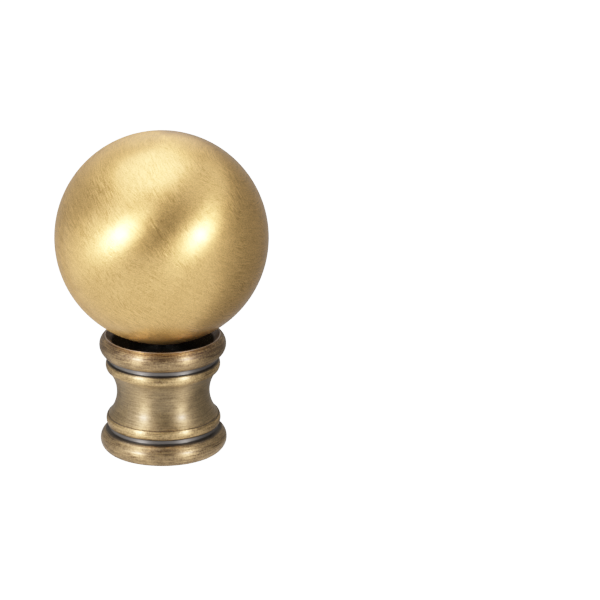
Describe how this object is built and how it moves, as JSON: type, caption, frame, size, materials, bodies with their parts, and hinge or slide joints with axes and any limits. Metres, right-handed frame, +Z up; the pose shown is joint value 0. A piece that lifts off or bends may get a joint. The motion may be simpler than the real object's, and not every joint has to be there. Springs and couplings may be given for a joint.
{
  "type": "lamp finial",
  "caption": "Lamp shade finial: a satin brass ball seated in the recessed top of a turned antique brass spool base with a tapped blind hole underneath.",
  "frame": {"origin": "centre of the flat underside of the base", "axes": "+Z up the finial's axis, from the tapped hole to the ball; X and Y across it"},
  "size_m": [0.03, 0.03, 0.0461],
  "materials": {
    "satin_brass": "satin, brushed in short arcs",
    "antique_brass": "antique, fine turning marks, dark in the grooves and the recess"
  },
  "bodies": {
    "root": {"ball": "satin_brass", "base": "antique_brass"}
  },
  "joints": []
}
